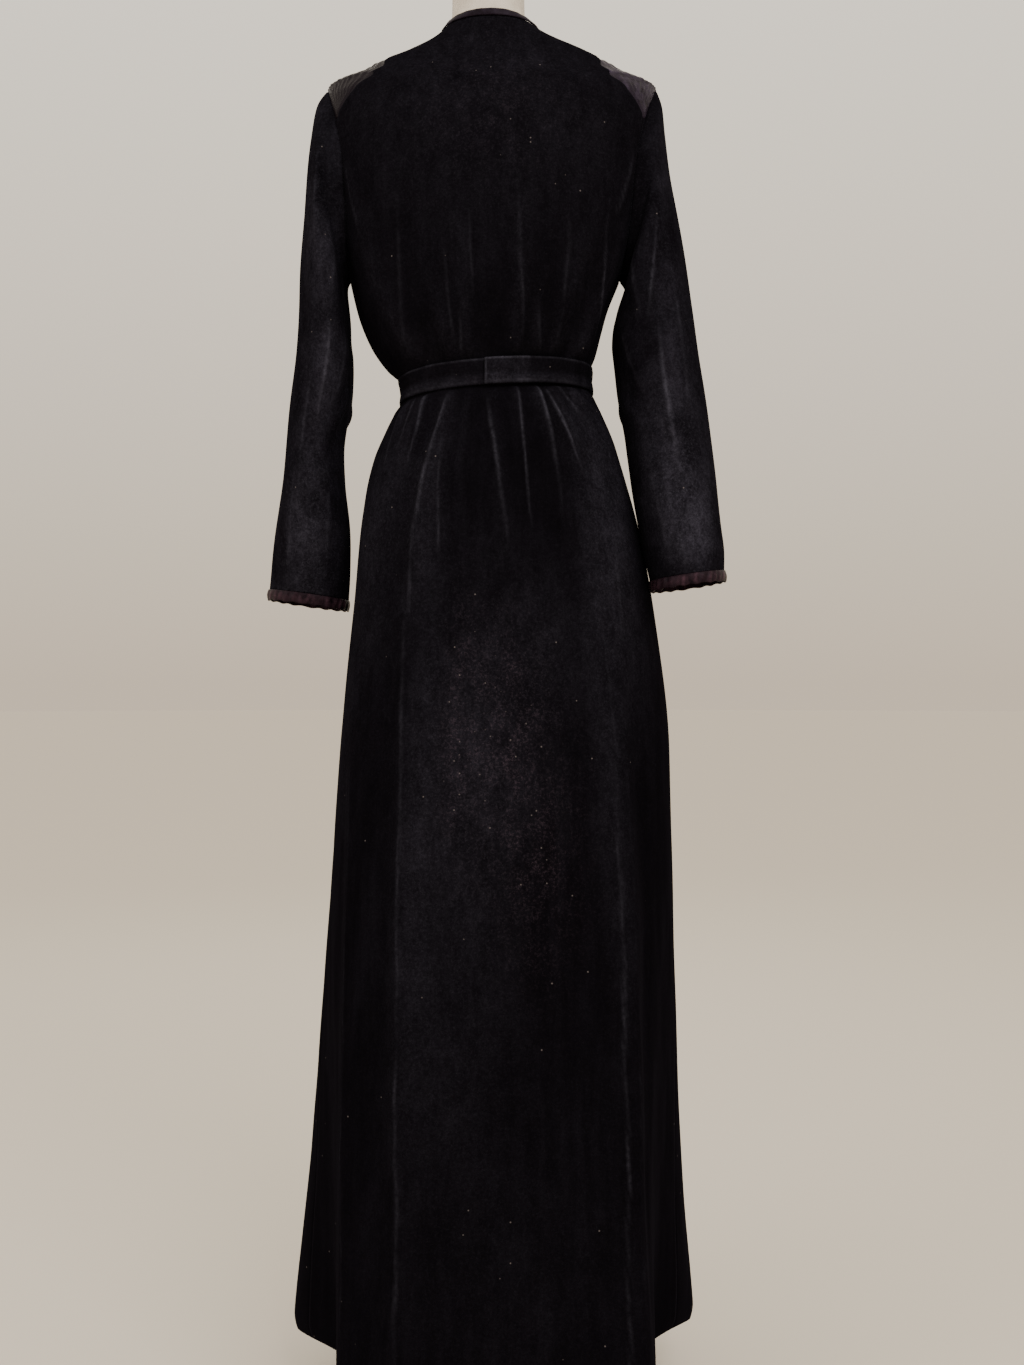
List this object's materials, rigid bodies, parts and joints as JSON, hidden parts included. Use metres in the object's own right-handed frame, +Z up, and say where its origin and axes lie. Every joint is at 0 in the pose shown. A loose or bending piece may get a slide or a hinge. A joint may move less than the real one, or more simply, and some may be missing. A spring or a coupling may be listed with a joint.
{
  "type": "robe on dress form",
  "caption": "Long black velvet robe with lapped front, tied-in waist, satin shoulder insets and bindings, worn by a limbless dress form on a round stand.",
  "frame": {"origin": "on the floor, on the axis of the stand's pole", "axes": "+Z up, the front of the robe towards -Y, the wearer's left side towards +X"},
  "size_m": [0.5147, 0.3904, 1.6268],
  "materials": {
    "velvet": "near-black velvet with a bluish, brushed nap",
    "satin": "purple-black satin with fine ribs and gathers",
    "form_cover": "cream plain-woven cover",
    "stand_steel": "grey satin paint"
  },
  "bodies": {
    "root": {"back_panel": "velvet", "front_left": "velvet", "front_right": "velvet", "yoke_left": "satin", "yoke_right": "satin", "sleeve_left": "velvet", "sleeve_right": "velvet", "cuff_binding_left": "satin", "cuff_binding_right": "satin", "neck_binding": "satin", "belt": "velvet", "form_body": "form_cover", "neck_cap": "stand_steel", "stand_pole": "stand_steel", "stand_base": "stand_steel"}
  },
  "joints": []
}
